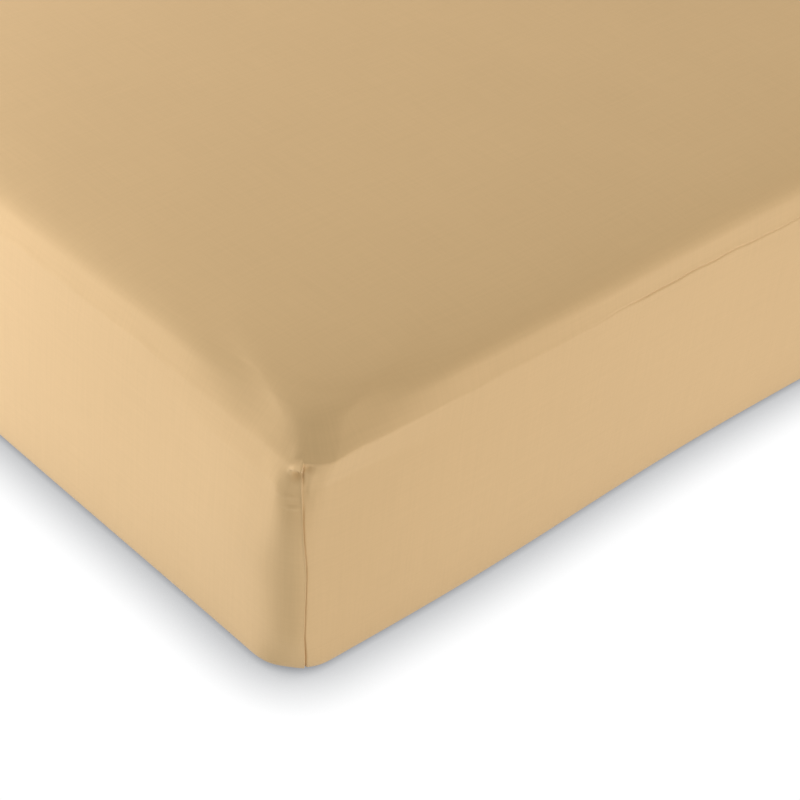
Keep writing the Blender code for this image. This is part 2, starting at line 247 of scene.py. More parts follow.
# The hem: a folded casing, sewn down by a row of stitches, and gathered by what pulls it in. The
# gathers' waves are shares of their height.
HEM_STITCH = HEM_REACH - HEM_WIDTH + 2 * MM
CASING_STEP = 0.5 * MM
CASING_EDGE = (1 * MM, 3 * MM)
CASING_FADE = 40 * MM
STITCH_GROOVE = 0.5 * MM
STITCH_GROOVE_WIDTH = 1.2 * MM
GATHER_HEIGHT = 0.9 * MM
GATHER_FADE = 70 * MM
GATHER_MEAN = 0.5
GATHER_WAVES = (Wave(0.3, 41 * MM, 0), Wave(0.2, 67 * MM, 1.3))
STITCH_PITCH = 3.2 * MM
STITCH_LENGTH = 2.5 * MM
THREAD = 0.36 * MM

# The mattress keeps clear of the cloth: a little where they lie flat, more round the edges, which
# end at this inset.
FLAT_CLEARANCE = 0.4 * MM
EDGE_CLEARANCE = 2.0 * MM
EDGE_END = 43 * MM

# Where the outer face has rings, in millimetres from the hem's edge, from its stitches, and from
# the crease: on both sides of it, then over it only. Between those they lie in steps, closer over
# the part of the wall that the pucker drags.
HEM_OFFSETS = (0, 1, 3, 6, 9, 12)
STITCH_OFFSETS = (1.8, 1.0, 0.4, 0, -0.4, -1.0, -1.8, -2.6, -4)
PAST_STITCHES = 6 * MM
UNDER_STEPS = 9
FOOT_STEPS = 8
WALL_STEPS = 14
DRAG_FOOT = 170 * MM
DRAG_STEPS = 22
DRAG_TOP = CREASE_HEIGHT - 8 * MM
CREASE_OFFSETS = (0.55, 1.05, 1.6, 2.3, 3.2, 4.4, 6)
BAND_OFFSETS = (8, 10.5, 13, 15, *range(17, 36, 2))
CROWN_START = 36 * MM
CROWN_STEPS = 14
CROWN_SPREAD = 1.4

# The same for the inner face and the mattress, below the crease and over it.
PLAIN_FOOT_STEPS = 4
PLAIN_WALL_STEPS = 6
PLAIN_BELOW = (32, 20, 14, 9, 5, 0)
PLAIN_ABOVE = (7, 13)

# Where rings have points: set distances beside a seam, shares of the rest.
SEAM_MARKS = np.array(
    (-14, -12, -10, -8.2, -6.6, -5.2, -4, -3, -2.2, -1.6, -1.1, -0.8, -0.5, -0.2, 0)
    + (0.25, 0.5, 0.75, 1, 1.3, 1.8, 2.5, 3.4, 4.4, 5.6, 7, 8.6, 10.4, 12.5)
) * MM
CORNER_SHARES = 7
LONG_SIDE_SHARES = 150
SHORT_SIDE_SHARES = 66
FAR_FROM_SEAM = 1.0
MIDDLE_GRID = 24 * MM
SAME_PLACE = 1e-6
SHARP_EDGE = 60

# Flat, the panels run on round a corner up to its seam. On the top, from one flat inset to
# another, the cloth comes to lie as it is.
TOP_LIE = (-8 * MM, 35 * MM)

# The finishes: yarns and slubs of the cotton, fibres of the thread and herringbone of the ticking.
# Noise is given in cells a metre.
CLOTH_SPECULAR = 0.25
SHEEN_ROUGHNESS = 0.45
YARN_PITCH = 0.6 * MM
SLUB_ALONG = 14
SLUB_ACROSS = 430
COTTON_CLOUD = 5
COTTON_RELIEF = 0.12 * MM
FIBRE = 2600
FIBRE_RELIEF = 0.05 * MM
HERRINGBONE = 9 * MM
TWILL_PITCH = 2.2 * MM
TWILL_RELIEF = 0.2 * MM
TICKING_MOTTLE = 6

# The studio: a glowing white sweep with a painted contact shadow, darker where the object stands,
# an even white room and large soft boxes.
SWEEP_HALF_SIZE = 20
SWEEP_GLOW = 1.02
SWEEP_WHITE = (1, 1, 1)
# The painted contact shadow: its darkest tone, and how far from the object it reaches.
PAINTED_SHADOW_TONE = (0.17, 0.18, 0.2)
PAINTED_SHADOW_REACH = 46 * MM
ROOM_COLOUR = (1, 0.95, 0.864, 1)
ROOM_STRENGTH = 0.47
NEAR_CORNER = (-0.8, -0.3, 0.15)
SoftBox = namedtuple("SoftBox", "name place aim width height power colour")
SOFT_BOXES = (
    SoftBox("left_soft_box", (-1.6, 1.0, 0.5), NEAR_CORNER, 0.9, 0.8, 24.2, (0.954, 0.937, 1)),
    SoftBox("front_soft_box", (0.2, -2.4, 0.5), NEAR_CORNER, 1.6, 0.9, 16.7, (1, 0.92, 0.936)),
    SoftBox("top_soft_box", (0, 0, 2.6), (0, 0, 0.2), 2.4, 1.8, 8.6, (0.811, 1, 0.994)),
    SoftBox("back_soft_box", (0.3, 0.5, 1.8), (-0.2, 0, 0.25), 1.4, 1.0, 6.3, (1, 0.806, 0.733)),
)

# The camera, as the photograph's lines give it.
CAMERA_PLACE = (-1.7406, -1.1936, 1.1174)
CAMERA_YAW = 47.962
CAMERA_PITCH = 38.087
CAMERA_ROLL = 7.206
CAMERA_LENS = 90.52
CAMERA_NEAREST = 0.05
SENSOR = 36


# ---------------------------------------------------------------------------------------------
# The form of the dressed mattress
# ---------------------------------------------------------------------------------------------


def blend(low, high, share):
    return low + (high - low) * share


def steps_between(low, high, count):
    return [blend(low, high, step / count) for step in range(count + 1)]


def smooth(value, low, high):
    """0 up to low, 1 from high on and a smooth step between them."""
    share = np.clip((value - low) / (high - low), 0, 1)
    return share * share * (3 - 2 * share)


def bell(distance, half_width):
    """1 at no distance, falling smoothly to almost 0 at two half widths."""
    return np.exp(-((distance / half_width) ** 2))


def at_height(height, column):
    """A column of the corner sections, between its rows."""
    values = np.array([getattr(row, column) for row in SECTIONS], float).T
    heights = [row.height for row in SECTIONS]
    if values.ndim == 1:
        return float(np.interp(height, heights, values))
    return [float(np.interp(height, heights, steps)) for steps in values]


def wall_inset(height):
    lean = max(height - UPRIGHT_HEIGHT, 0) / (CREASE_HEIGHT - UPRIGHT_HEIGHT)
    return SHOULDER_INSET * min(lean, 1) ** LEAN_POWER


def wall_ring(height):
    return Ring(wall_inset(height), height, at_height(height, "radius"))


def top_profile():
    """The shoulder and crown in small steps: distance over the surface, inset and height."""
    over = np.linspace(0, TOP_REACH, TOP_STEPS + 1)
    middle = (over[1:] + over[:-1]) / 2
    known_over, known_degrees, _ = zip(*TOP_TILTS)
    tilt = np.radians(np.interp(middle, known_over, known_degrees))
    inward = np.concatenate(([0], np.cumsum(np.sin(tilt)))) * TOP_REACH / TOP_STEPS
    rise = np.concatenate(([0], np.cumsum(np.cos(tilt))))
    return over, SHOULDER_INSET + inward, blend(CREASE_HEIGHT, HEIGHT, rise / rise[-1])


TOP_PROFILE = top_profile()
TOP_INSET = TOP_PROFILE[1][-1]


def top_ring(over):
    """A ring of the top, at a distance over the surface from the crease."""
    inset = float(np.interp(over, TOP_PROFILE[0], TOP_PROFILE[1]))
    height = float(np.interp(over, TOP_PROFILE[0], TOP_PROFILE[2]))
    radius = np.interp(over, [row.over for row in TOP_TILTS], [row.radius for row in TOP_TILTS])
    return Ring(inset, height, float(radius))


def under_rings(hem_insets, foot_steps):
    """The flat hem, from its edge outwards, and the rounded foot of the wall."""
    rings = [Ring(inset, 0, HEM_CORNER) for inset in hem_insets]
    for step in range(1, foot_steps + 1):
        turn = math.radians(90 * step / foot_steps)
        inset = BASE_ROUND * (1 - math.sin(turn))
        height = BASE_ROUND * (1 - math.cos(turn))
        rings.append(Ring(inset, height, at_height(height, "radius") - inset / 2))
    return rings


def all_rings(hem_insets, foot_steps, wall_heights, top_distances):
    rings = under_rings(hem_insets, foot_steps)
    rings += [wall_ring(height) for height in wall_heights]
    return rings + [top_ring(over) for over in top_distances]


def outer_rings():
    """All the rings of the cloth's outer face, closest together where it bends most."""
    hem = [HEM_REACH - offset * MM for offset in HEM_OFFSETS]
    hem += [HEM_STITCH + offset * MM for offset in STITCH_OFFSETS]
    hem += steps_between(HEM_STITCH - PAST_STITCHES, BASE_ROUND, UNDER_STEPS)
    walls = steps_between(BASE_ROUND, DRAG_FOOT, WALL_STEPS)[1:]
    walls += steps_between(DRAG_FOOT, DRAG_TOP, DRAG_STEPS)[1:]
    walls += [CREASE_HEIGHT - offset * MM for offset in (*reversed(CREASE_OFFSETS), 0)]
    tops = [offset * MM for offset in CREASE_OFFSETS + BAND_OFFSETS]
    for step in range(CROWN_STEPS + 1):
        tops.append(blend(CROWN_START, TOP_REACH, (step / CROWN_STEPS) ** CROWN_SPREAD))
    return all_rings(hem, FOOT_STEPS, walls, tops)


def plain_rings():
    """The same form with fewer rings, for the cloth's inner face and for the mattress."""
    hem = [HEM_REACH, HEM_REACH - HEM_WIDTH, BASE_ROUND]
    walls = steps_between(BASE_ROUND, DRAG_FOOT, PLAIN_WALL_STEPS)[1:]
    walls += [CREASE_HEIGHT - offset * MM for offset in PLAIN_BELOW]
    tops = [offset * MM for offset in PLAIN_ABOVE] + [row.over for row in TOP_TILTS[1:]]
    return all_rings(hem, PLAIN_FOOT_STEPS, walls, tops)


def profile_normals(rings):
    """For each ring, how far its surface faces out and how far it faces up."""
    normals = []
    for place in range(len(rings)):
        before = rings[max(place - 1, 0)]
        after = rings[min(place + 1, len(rings) - 1)]
        out, up = after.height - before.height, after.inset - before.inset
        size = math.hypot(out, up)
        normals.append((out / size, up / size))
    return [(0, -1) if ring.height == 0 else normal for ring, normal in zip(rings, normals)]


def laid_flat(rings):
    """The insets that the rings would have if the cloth were laid out flat."""
    flat = [rings[-1].inset]
    for outer, inner in zip(rings[-2::-1], rings[:0:-1]):
        flat.append(flat[-1] - math.hypot(inner.inset - outer.inset, inner.height - outer.height))
    return flat[::-1]


# ---------------------------------------------------------------------------------------------
# Points along a ring
# ---------------------------------------------------------------------------------------------

# Points of a ring or of a whole skin: place in plan, outward direction, distances from the nearest
# seam and from the nearest corner's turn, size of that corner's pucker, and place in the cloth
# when it is laid flat.
Points = namedtuple("Points", "place out seam corner pucker flat")


def joined(parts):
    return Points(*(np.concatenate(fields) for fields in zip(*parts)))


def corner_turn(ring, mirrored):
    """A corner's turn in small steps: arc length, turn, and how far it runs along each side."""
    before = at_height(ring.height, "before")
    after = at_height(ring.height, "after")
    seam = at_height(ring.height, "seam")
    places = [*np.linspace(0, seam, len(before)), *np.linspace(seam, 1, len(after))]
    share = np.linspace(0, 1, TURN_STEPS + 1)
    turn = np.radians(np.interp(share, places, before + after))
    if mirrored:
        turn, seam = math.pi / 2 - turn[::-1], 1 - seam
    middle = (turn[1:] + turn[:-1]) / 2
    whole = math.pi / 2 * ring.radius
    along_first = np.concatenate(([0], np.cumsum(np.cos(middle)))) * whole / TURN_STEPS
    along_second = np.concatenate(([0], np.cumsum(np.sin(middle)))) * whole / TURN_STEPS
    return share * whole, turn, along_first, along_second, seam * whole


def sides_of(corner):
    """The outward directions of the sides before and after a corner."""
    first = math.radians(corner.first_angle)
    first_side = np.array((math.cos(first), math.sin(first)))
    return first_side, np.array((-math.sin(first), math.cos(first)))


def lean_of(ring, corner):
    """How far a corner is moved out past the panel that turns it and in from the other."""
    turning, straight = sides_of(corner)[::-1] if corner.mirrored else sides_of(corner)
    lean_out = turning * at_height(ring.height, "lean_out")
    return lean_out - straight * at_height(ring.height, "lean_in")


def corner_points(ring, flat_inset, corner):
    """The points round a corner, as distances from its seam."""
    arcs, turns, along_first, along_second, seam = corner_turn(ring, corner.mirrored)
    whole = arcs[-1]
    before = np.linspace(-seam, SEAM_MARKS[0], CORNER_SHARES, endpoint=False)
    after = np.linspace(SEAM_MARKS[-1], whole - seam, CORNER_SHARES + 1)[1:]
    distance = np.concatenate((before, SEAM_MARKS, after))
    arc = (seam + distance)[:, None]
    first_side, second_side = sides_of(corner)
    turn = np.interp(arc, arcs, turns)
    out = np.cos(turn) * first_side + np.sin(turn) * second_side
    reach_x, reach_y = LENGTH / 2 - ring.inset, WIDTH / 2 - ring.inset
    tip = np.array((corner.side_x * reach_x, corner.side_y * reach_y))
    start = tip - second_side * along_first[-1]
    end = tip - first_side * along_second[-1]
    run = second_side * np.interp(arc, arcs, along_first)
    place = start + run - first_side * np.interp(arc, arcs, along_second) + lean_of(ring, corner)
    spread = ring.inset - flat_inset
    first_panel = start + first_side * spread + second_side * arc
    second_panel = end + second_side * spread + first_side * (whole - arc)
    panel = np.where(distance[:, None] < 0, first_panel, second_panel)
    on_top = smooth(flat_inset, *TOP_LIE)
    size = np.full(len(distance), corner.pucker)
    return Points(place, out, distance, 0 * distance, size, blend(panel, place, on_top))


def side_points(start, end, out, leans, spread, shares):
    """Points along a side, from one corner's last point to the next one's first, with their leans."""
    along = np.linspace(0, 1, shares + 1)[1:-1, None]
    straight = end - leans[1] - (start - leans[0])
    length = np.hypot(*straight)
    behind, ahead = length * along, length * (1 - along)
    place = start - leans[0] + straight * along
    place += leans[0] * bell(behind, LEAN_REACH) + leans[1] * bell(ahead, LEAN_REACH)
    many = np.ones(len(along))
    nearest = np.minimum(behind, ahead)[:, 0]
    seam = FAR_FROM_SEAM * many
    return Points(place, out * many[:, None], seam, nearest, 0 * many, place + out * spread)


def ring_points(ring, flat_inset):
    """The points of a ring, anticlockwise from above, from the first corner."""
    corners = [corner_points(ring, flat_inset, corner) for corner in CORNERS]
    leans = [lean_of(ring, corner) for corner in CORNERS]
    spread = ring.inset - flat_inset
    parts = []
    for index, corner in enumerate(corners):
        after = (index + 1) % len(corners)
        shares = LONG_SIDE_SHARES if index % 2 == 0 else SHORT_SIDE_SHARES
        ends = corner.place[-1], corners[after].place[0]
        parts.append(corner)
        parts.append(side_points(*ends, corner.out[-1], (leans[index], leans[after]), spread, shares))
    return joined(parts)


# ---------------------------------------------------------------------------------------------
# The cloth's own forms
# ---------------------------------------------------------------------------------------------


def swell(depth, wave, full_at, along):
    """0 at the full places, falling to depth half way between them."""
    return depth / 2 * (1 - np.cos(2 * math.pi * (along - full_at) / wave))


def from_sides(out, left, right, front, back):
    """A value for each point from the two sides that it faces, by how far it faces each."""
    ends = np.where(out[..., 0] < 0, left, right)
    flanks = np.where(out[..., 1] < 0, front, back)
    return ends * out[..., 0] ** 2 + flanks * out[..., 1] ** 2


def crease_strength(points, field):
    """A column of the crease at each point, from the tables of the four sides."""
    across = points.place[..., 1] + WIDTH / 2
    along = points.place[..., 0] + LENGTH / 2
    column = Crease._fields.index(field)
    values = []
    for rows, where in (
        (LEFT_CREASE, across),
        (RIGHT_CREASE, across),
        (FRONT_CREASE, along),
        (BACK_CREASE, along),
    ):
        values.append(np.interp(where, [row.along for row in rows], [row[column] for row in rows]))
    return from_sides(points.out, *values)


def crease_relief(points, height):
    """The fine groove along the mattress's edge, and the cloth set back above it."""
    above = height - CREASE_HEIGHT
    groove = crease_strength(points, "groove") * bell(above, GROOVE_HALF_WIDTH)
    lean = np.maximum(above, 0) / SET_BACK_HEIGHT
    return -(groove + crease_strength(points, "set_back") * lean * np.exp(1 - lean))


def slump(points, height):
    """How far the cloth over the crease is moved inwards, most of all near the corners."""
    above = height - CREASE_HEIGHT
    crown = np.clip((above - CROWN_FOOT) / (HEIGHT - CREASE_HEIGHT - CROWN_FOOT), 0, 1)
    flattened = crease_strength(points, "flattened") * np.clip(above / BAND_TOP, 0, 1)
    rising = smooth(above, SLUMP_FOOT, SLUMP_FULL)
    return (flattened + SLUMP * bell(points.corner, SLUMP_REACH) * rising) * (1 - crown)


def seam_relief(points, height):
    """The lifted edge of one panel with its rib, the hollow beside it and the pucker at the top."""
    lifted = SEAM_LIFT * (1 - smooth(-points.seam, 0, 2 * SEAM_ALLOWANCE)) * (points.seam < 0)
    heights, ribs, hollows = zip(*SEAM_EDGE)
    rib = bell(points.seam + SEAM_RIB_WIDTH, SEAM_RIB_WIDTH)
    hollow = bell(points.seam - SEAM_HOLLOW_WIDTH, SEAM_HOLLOW_WIDTH)
    edge = rib * np.interp(height, heights, ribs) - hollow * np.interp(height, heights, hollows)
    below_top = smooth(CREASE_HEIGHT - height, 0, SEAM_TOP_FADE)
    return lifted * below_top + edge + pucker_relief(points, height)


def pucker_relief(points, height):
    """The swellings and hollows at the top of a seam, each on its own side of it."""
    folds = 0
    for fold in PUCKER_FOLDS:
        own_side = smooth(points.seam * math.copysign(1, fold.along), *FOLD_END)
        across = bell(points.seam - fold.along, fold.half_width) * own_side
        folds = folds + fold.height * across * bell(height - CREASE_HEIGHT - fold.up, fold.half_height)
    return points.pucker * folds


def seam_room(points, rings):
    """How much farther in the layers under the cloth lie behind a seam and its pucker."""
    height = np.array([ring.height for ring in rings])[:, None]
    above = height - CREASE_HEIGHT - PUCKER_ROOM.up
    spread = bell(points.seam - PUCKER_ROOM.along, PUCKER_ROOM.half_width)
    pucker = PUCKER_ROOM.height * points.pucker * spread * bell(above, PUCKER_ROOM.half_height)
    on_wall = smooth(height, 0, SEAM_FOOT_FADE) * smooth(CREASE_HEIGHT - height, 0, SEAM_TOP_FADE)
    return pucker + SEAM_ROOM * bell(points.seam, SEAM_ROOM_WIDTH) * on_wall


def wavy(waves, along):
    return sum(row.height * np.sin(2 * math.pi * along / row.spacing + row.start) for row in waves)


def hem_relief(points, inset):
    """Height of the hem over the floor: its casing, the stitched groove and the gathers."""
    girth = points.flat[..., 0] + points.flat[..., 1]
    past_casing = smooth(HEM_STITCH - inset, *CASING_EDGE) * smooth(inset, BASE_ROUND, CASING_FADE)
    groove = STITCH_GROOVE * bell(inset - HEM_STITCH, STITCH_GROOVE_WIDTH)
    gathers = GATHER_HEIGHT * (GATHER_MEAN + wavy(GATHER_WAVES, girth))
    fade = smooth(inset, HEM_REACH - GATHER_FADE, HEM_REACH)
    return CASING_STEP * past_casing + groove + gathers * fade


def shaped(points, rings, relief):
    """Points in space: each ring's points stood out along the surface, then waved."""
    normals = np.array(profile_normals(rings))
    inset = np.array([ring.inset for ring in rings])[:, None]
    height = np.array([ring.height for ring in rings])[:, None]
    outwards = relief * normals[:, 0, None] - slump(points, height)
    x = points.place[..., 0] + outwards * points.out[..., 0]
    y = points.place[..., 1] + outwards * points.out[..., 1]
    z = height + relief * normals[:, 1, None]
    across, along = y + WIDTH / 2, x + LENGTH / 2
    fade = 1 - np.clip((inset - BASE_ROUND) / WAVE_FADE, 0, 1)
    draws, dips = [], []
    for side, where in ((LEFT, across), (RIGHT, across), (FRONT, along), (BACK, along)):
        draws.append(swell(side.draw_in, side.wave, side.full_at, where) * fade)
        dips.append(swell(side.dip, side.dip_wave, side.level_at, where))
    out_x, out_y = points.out[..., 0], points.out[..., 1]
    draw_x = np.where(out_x < 0, draws[0], draws[1])
    draw_y = np.where(out_y < 0, draws[2], draws[3])
    above = height - CREASE_HEIGHT
    dip = from_sides(points.out, *dips) * bell(above, DIP_REACH)
    girth = from_sides(points.out, across, across, along, along)
    rise = wavy(CREASE_WANDER, girth) * bell(above, WANDER_REACH)
    return np.stack((x - draw_x * out_x, y - draw_y * out_y, z - dip + rise), -1)


def skin(rings, relief_of):
    """The rows of points of one skin, and their places in the flat cloth."""
    flat = laid_flat(rings)
    rows = [ring_points(ring, inset) for ring, inset in zip(rings, flat)]
    points = Points(*(np.stack(fields) for fields in zip(*rows)))
    return shaped(points, rings, relief_of(points, rings)), points


def outer_relief(points, rings):
    """How far the cloth's outer face stands out from the plain form."""
    inset = np.array([ring.inset for ring in rings])[:, None]
    height = np.array([ring.height for ring in rings])[:, None]
    wall = crease_relief(points, height) + seam_relief(points, height)
    under = hem_relief(points, inset) * (height == 0)
    return wall * smooth(height, 0, SEAM_FOOT_FADE) - under


def inner_relief(points, rings):
    return -CLOTH - seam_room(points, rings)


def mattress_relief(points, rings):
    """The mattress lies clear of the cloth's inner face, most of all round its edges."""
    flat = [ring.height == 0 or ring.inset > EDGE_END for ring in rings]
    clearance = np.where(flat, FLAT_CLEARANCE, EDGE_CLEARANCE)[:, None]
    return inner_relief(points, rings) - clearance


# ---------------------------------------------------------------------------------------------
# Meshes
# ---------------------------------------------------------------------------------------------


def add_skin(shape, rows, facing_out):
    """Joins rows of points into a skin. Gives the vertices of each row."""
    grid = [[shape.verts.new(point) for point in row] for row in rows]
    for low, high in zip(grid, grid[1:]):
        for index, first in enumerate(low):
            after = (index + 1) % len(low)
            corners = (first, low[after], high[after], high[index])
            shape.faces.new(corners if facing_out else reversed(corners))
    return grid


def fill_middle(shape, rim):
    """Closes the top inside its last ring with evenly spaced points."""
    outline = [vertex.co.xy for vertex in rim]
    half_x = LENGTH / 2 - TOP_INSET
    half_y = WIDTH / 2 - TOP_INSET
    inside = []
    for x in np.arange(-half_x + MIDDLE_GRID, half_x - MIDDLE_GRID / 2, MIDDLE_GRID):
        for y in np.arange(-half_y + MIDDLE_GRID, half_y - MIDDLE_GRID / 2, MIDDLE_GRID):
            if in_rounded_box(x, y, half_x - MIDDLE_GRID / 2, half_y - MIDDLE_GRID / 2):
                inside.append(Vector((x, y)))
    edges = [(index, (index + 1) % len(outline)) for index in range(len(outline))]
    points, _, faces, sources, _, _ = delaunay_2d_cdt(outline + inside, edges, [], 1, SAME_PLACE)
    vertices = []
    for point, source in zip(points, sources):
        given = [index for index in source if index < len(rim)]
        vertices.append(rim[given[0]] if given else shape.verts.new((*point, HEIGHT)))
    for face in faces:
        shape.faces.new([vertices[index] for index in face])


def in_rounded_box(x, y, half_x, half_y):
    radius = TOP_TILTS[-1].radius
    past_x, past_y = abs(x) - half_x + radius, abs(y) - half_y + radius
    return min(past_x, past_y) < 0 or math.hypot(past_x, past_y) < radius


def new_object(name, shape, finish):
    mesh = bpy.data.meshes.new(name)
    shape.to_mesh(mesh)
    shape.free()
    mesh.materials.append(finish)
    mesh.shade_smooth()
    mesh.set_sharp_from_angle(angle=math.radians(SHARP_EDGE))
    obj = bpy.data.objects.new(name, mesh)
    bpy.context.scene.collection.objects.link(obj)
    return obj


def cloth_piece(finish):
    """The sheet: outer and inner face, joined at the hem's edge, and its stitch row's path."""
    outer = outer_rings()
    outside, outer_points = skin(outer, outer_relief)
    inside, inner_points = skin(plain_rings(), inner_relief)
    shape = bmesh.new()
    outer_rows = add_skin(shape, outside, facing_out=True)
    inner_rows = add_skin(shape, inside, facing_out=False)
    fill_middle(shape, outer_rows[-1])
    shape.faces.new(reversed(inner_rows[-1]))
    hem_out, hem_in = outer_rows[0], inner_rows[0]
    for index, first in enumerate(hem_in):
        after = (index + 1) % len(hem_in)
        shape.faces.new((first, hem_in[after], hem_out[after], hem_out[index]))
    piece = new_object("stretched_cloth", shape, finish)
    lay_weave(piece.data, np.concatenate([outer_points.flat, inner_points.flat]))
    stitch_row = [ring.inset for ring in outer].index(HEM_STITCH)
    return piece, outside[stitch_row]


def lay_weave(mesh, flat_rows):
    """Stores each point's place in the flat cloth, which the weave follows."""
    places = np.array([vertex.co for vertex in mesh.vertices])
    places[:, 2] = 0
    known = flat_rows.reshape(-1, 2)
    places[: len(known), :2] = known
    attribute = mesh.attributes.new("flat_cloth", "FLOAT_VECTOR", "POINT")
    attribute.data.foreach_set("vector", places.astype(np.float32).ravel())


def mattress_piece(finish):
    """The block inside, clear of the cloth all round."""
    rows, _ = skin(plain_rings(), mattress_relief)
    shape = bmesh.new()
    grid = add_skin(shape, rows, facing_out=True)
    shape.faces.new(grid[-1])
    shape.faces.new(reversed(grid[0]))
    return new_object("mattress_block", shape, finish)


# ---------------------------------------------------------------------------------------------
# Stitches, by Geometry Nodes
# ---------------------------------------------------------------------------------------------


def stitch_tree():
    """A stitch, laid again and again along a path."""
    tree = bpy.data.node_groups.new("stitch_row", "GeometryNodeTree")
    face = tree.interface
    face.new_socket(name="Path", in_out="INPUT", socket_type="NodeSocketGeometry")
    for name in ("Pitch", "Length", "Thread"):
        face.new_socket(name=name, in_out="INPUT", socket_type="NodeSocketFloat")
    face.new_socket(name="Finish", in_out="INPUT", socket_type="NodeSocketMaterial")
    face.new_socket(name="Stitches", in_out="OUTPUT", socket_type="NodeSocketGeometry")

    def node(kind, settings=(), **links):
        made = tree.nodes.new(kind)
        for name, value in dict(settings).items():
            setattr(made, name, value)
        for name, value in links.items():
            socket = made.inputs[name.replace("_", " ")]
            if isinstance(value, bpy.types.NodeSocket):
                tree.links.new(value, socket)
            else:
                socket.default_value = value
        return made

    given = node("NodeGroupInput").outputs
    curve = node("GeometryNodeMeshToCurve", Mesh=given["Path"])
    spaced = node(
        "GeometryNodeResampleCurve",
        {"mode": "LENGTH"},
        Curve=curve.outputs[0],
        Length=given["Pitch"],
    )
    tangent = node("GeometryNodeInputTangent")
    turned = node("FunctionNodeAlignRotationToVector", {"axis": "X"}, Vector=tangent.outputs[0])
    size = node("ShaderNodeCombineXYZ", X=given["Length"], Y=given["Thread"], Z=given["Thread"])
    bead = node("GeometryNodeMeshUVSphere", Segments=6, Rings=5, Radius=0.5)
    uneven = node("FunctionNodeRandomValue", {"data_type": "FLOAT_VECTOR"}, Seed=7)
    uneven.inputs["Min"].default_value = (0.9, 0.92, 0.92)
    uneven.inputs["Max"].default_value = (1.08, 1.06, 1.06)
    scale = node("ShaderNodeVectorMath", {"operation": "MULTIPLY"})
    tree.links.new(size.outputs[0], scale.inputs[0])
    tree.links.new(uneven.outputs[0], scale.inputs[1])
    laid = node(
        "GeometryNodeInstanceOnPoints",
        Points=spaced.outputs[0],
        Instance=bead.outputs[0],
        Rotation=turned.outputs[0],
        Scale=scale.outputs[0],
    )
    real = node("GeometryNodeRealizeInstances", Geometry=laid.outputs[0])
    coloured = node("GeometryNodeSetMaterial", Geometry=real.outputs[0], Material=given["Finish"])
    node("NodeGroupOutput", Stitches=coloured.outputs[0])
    return tree


def stitch_piece(name, path, finish):
    """A closed row of stitches along a path, as a plain mesh."""
    line = bpy.data.meshes.new(name + "_path")
    edges = [(index, (index + 1) % len(path)) for index in range(len(path))]
    line.from_pydata([tuple(point) for point in path], edges, [])
    guide = bpy.data.objects.new(name + "_path", line)
    bpy.context.scene.collection.objects.link(guide)
    tree = stitch_tree()
    rows = guide.modifiers.new("stitches", "NODES")
    rows.node_group = tree
    wanted = {"Pitch": STITCH_PITCH, "Length": STITCH_LENGTH, "Thread": THREAD, "Finish": finish}
    for item in tree.interface.items_tree:
        if item.in_out == "INPUT" and item.name in wanted:
            rows[item.identifier] = wanted[item.name]
    bpy.context.view_layer.update()
    depsgraph = bpy.context.evaluated_depsgraph_get()
    mesh = bpy.data.meshes.new_from_object(guide.evaluated_get(depsgraph))
    bpy.data.objects.remove(guide, do_unlink=True)
    mesh.name = name
    mesh.shade_smooth()
    piece = bpy.data.objects.new(name, mesh)
    bpy.context.scene.collection.objects.link(piece)
    return piece


# ---------------------------------------------------------------------------------------------
# Materials
# ---------------------------------------------------------------------------------------------


class Wire:
    """A shader socket. Operators on it add Math nodes."""

    def __init__(self, finish, socket):
        self.finish = finish
        self.socket = socket

    def maths(self, operation, first, second=0.0):
        node = self.finish.node("ShaderNodeMath", {"operation": operation}, {0: first, 1: second})
        return node["Value"]

    def __add__(self, other):
        return self.maths("ADD", self, other)

    def __mul__(self, other):
        return self.maths("MULTIPLY", self, other)

    __radd__ = __add__
    __rmul__ = __mul__

    def __abs__(self):
        return self.maths("ABSOLUTE", self)

    def sine(self):
        return self.maths("SINE", self)

    def back_and_forth(self, width):
        return self.maths("PINGPONG", self, width)


